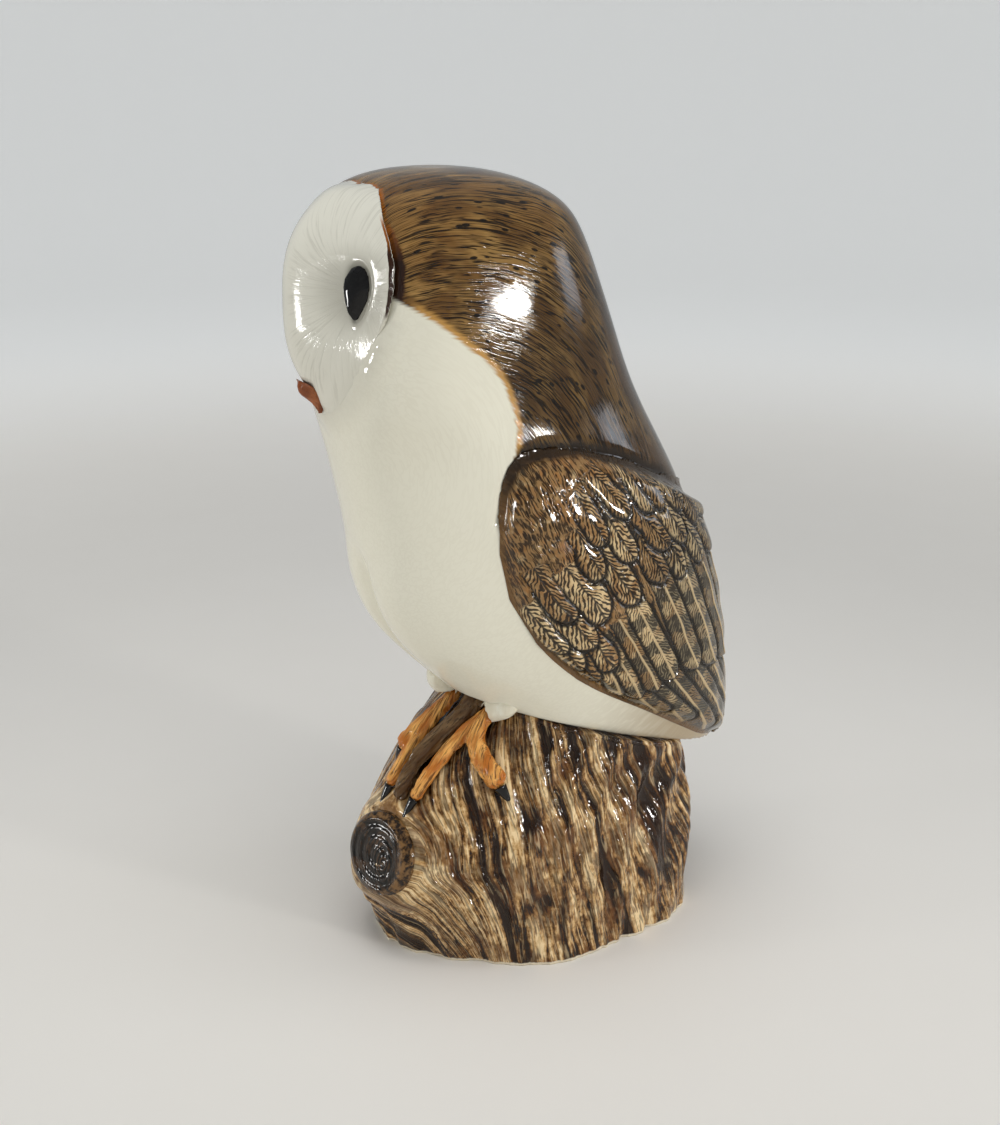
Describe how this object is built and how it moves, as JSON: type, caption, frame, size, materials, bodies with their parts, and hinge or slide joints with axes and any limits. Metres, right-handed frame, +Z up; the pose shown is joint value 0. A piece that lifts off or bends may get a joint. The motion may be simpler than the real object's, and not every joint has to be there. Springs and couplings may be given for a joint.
{
  "type": "owl figurine",
  "caption": "Glossy glazed earthenware barn owl on a bark-textured tree stump, with folded feathered wings, a pale heart-shaped face and clawed feet.",
  "frame": {"origin": "middle of the stump's flat foot, on the table", "axes": "+Z up, the owl faces -Y, its left side is +X"},
  "size_m": [0.1004, 0.1557, 0.2504],
  "materials": {
    "white_glaze": "glossy cream-white and painted brown glaze",
    "face_glaze": "glossy cream-white glaze with fine brushed lines",
    "plumage_glaze": "glossy mottled brown and amber glaze over feather relief",
    "bark_glaze": "glossy brown glaze over ribbed bark",
    "spur_glaze": "glossy dark brown glaze",
    "black_glaze": "glossy black glaze",
    "beak_glaze": "glossy rust-brown glaze",
    "leg_glaze": "glossy cream-white glaze",
    "foot_glaze": "glossy amber glaze with dark strokes",
    "claw_glaze": "glossy grey-black glaze"
  },
  "bodies": {
    "root": {"owl_shell": "white_glaze", "stump_shell": "bark_glaze", "wing_left": "plumage_glaze", "wing_right": "plumage_glaze", "tail": "plumage_glaze", "face_disc": "face_glaze", "eye_left": "black_glaze", "eye_right": "black_glaze", "beak": "beak_glaze", "leg_left": "leg_glaze", "leg_right": "leg_glaze", "foot_left": "foot_glaze", "foot_right": "foot_glaze", "claws_left": "claw_glaze", "claws_right": "claw_glaze", "branch_stub": "bark_glaze", "bark_spur": "spur_glaze"}
  },
  "joints": []
}
